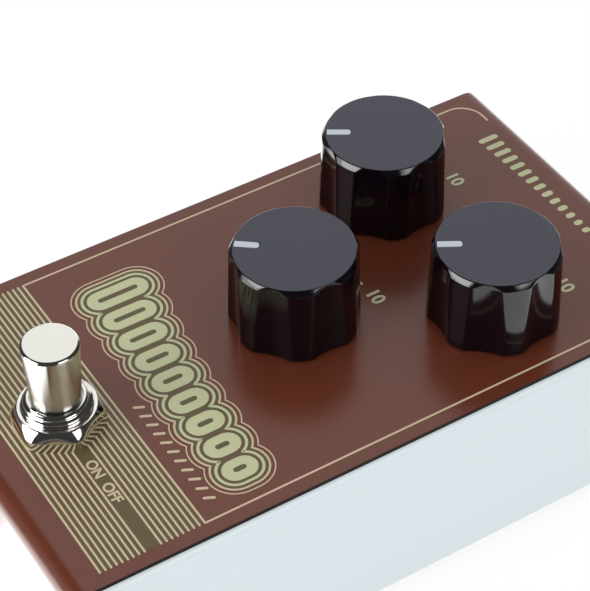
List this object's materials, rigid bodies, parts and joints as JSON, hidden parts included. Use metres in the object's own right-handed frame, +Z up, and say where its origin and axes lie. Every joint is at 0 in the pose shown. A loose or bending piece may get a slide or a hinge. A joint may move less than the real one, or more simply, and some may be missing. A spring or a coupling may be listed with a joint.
{
  "type": "delay pedal",
  "caption": "Guitar delay pedal: folded brown and pale metal case, chrome footswitch, fluted knobs with pointers, jacks and power socket at the back.",
  "frame": {"origin": "middle of the case's footprint, on the surface that the rubber mat stands on", "axes": "+X to the right and +Y to the back as the player sees it (footswitch at the front), +Z up"},
  "size_m": [0.072, 0.1292, 0.0558],
  "materials": {
    "pale_enamel": "satin pale grey enamel",
    "battery_wrap": "plain dark wrap",
    "lead_black": "black insulation",
    "lead_red": "red insulation",
    "foam_grey": "foam",
    "snap_black": "black vinyl",
    "contact_silver": "silver plated",
    "can_sleeve": "dark sleeve",
    "chip_black": "black epoxy",
    "screw_steel": "zinc plated",
    "jack_black": "black nylon",
    "film_red": "red film capacitors",
    "jack_metal": "nickel plated",
    "led_resin": "clear red resin",
    "spacer_nylon": "black nylon",
    "board_green": "green solder mask",
    "knob_black": "gloss black",
    "screw_black": "blackened",
    "pointer_pale": "pale inlay",
    "pot_case": "plated steel",
    "shaft_metal": "turned",
    "pot_metal": "nickel plated",
    "pin_tin": "tinned",
    "mat_rubber": "matt black",
    "switch_phenolic": "blue phenolic",
    "switch_chrome": "bright chrome",
    "button_chrome": "bright chrome",
    "ribbon_grey": "flat cable",
    "spring_steel": "bright steel",
    "brown_enamel": "semi-gloss reddish brown enamel"
  },
  "bodies": {
    "case": {"base_tray": "pale_enamel", "battery": "battery_wrap", "battery_lead_black": "lead_black", "battery_lead_red": "lead_red", "battery_pad": "foam_grey", "battery_snap": "snap_black", "battery_terminals": "contact_silver", "board_capacitors": "can_sleeve", "board_chips": "chip_black", "cover_screws": "screw_steel", "dc_jack_body": "jack_black", "dc_jack_contact": "contact_silver", "dc_jack_pin": "contact_silver", "film_capacitors": "film_red", "input_jack_body": "jack_black", "input_jack_bushing": "jack_metal", "jack_nuts": "jack_metal", "jack_tip_contacts": "contact_silver", "led": "led_resin", "led_spacer": "spacer_nylon", "main_board": "board_green", "mix_pot_body": "pot_case", "output_jack_body": "jack_black", "output_jack_bushing": "jack_metal", "pot_nuts": "pot_metal", "pot_pins": "pin_tin", "repeats_pot_body": "pot_case", "rubber_mat": "mat_rubber", "switch_body": "switch_phenolic", "switch_bushing": "switch_chrome", "switch_inner_nut": "pot_metal", "switch_lugs": "pin_tin", "switch_nut": "switch_chrome", "switch_ribbon": "ribbon_grey", "switch_spring": "spring_steel", "time_pot_body": "pot_case", "top_cover": "brown_enamel"},
    "time_control": {"time_shaft": "shaft_metal", "time_knob": "knob_black", "time_pointer": "pointer_pale", "time_knob_screw": "screw_black"},
    "repeats_control": {"repeats_shaft": "shaft_metal", "repeats_knob": "knob_black", "repeats_pointer": "pointer_pale", "repeats_knob_screw": "screw_black"},
    "mix_control": {"mix_shaft": "shaft_metal", "mix_knob": "knob_black", "mix_pointer": "pointer_pale", "mix_knob_screw": "screw_black"},
    "footswitch_button": {"switch_button": "button_chrome"}
  },
  "joints": [
    {"name": "time_turn", "type": "hinge", "parent": "case", "child": "time_control", "pos_m": [-0.01745, 0.02928, 0.0376], "axis": [0, 0, -1], "range_deg": [0, 300]},
    {"name": "repeats_turn", "type": "hinge", "parent": "case", "child": "repeats_control", "pos_m": [0, -0.00054, 0.0376], "axis": [0, 0, -1], "range_deg": [0, 300]},
    {"name": "mix_turn", "type": "hinge", "parent": "case", "child": "mix_control", "pos_m": [0.01745, 0.02928, 0.0376], "axis": [0, 0, -1], "range_deg": [0, 300]},
    {"name": "footswitch_press", "type": "slide", "parent": "case", "child": "footswitch_button", "axis": [0, 0, -1], "range_m": [0, 0.0035], "stiffness_N_per_m": 1500, "springref_m": -0.004, "deforming": ["switch_spring"]}
  ]
}
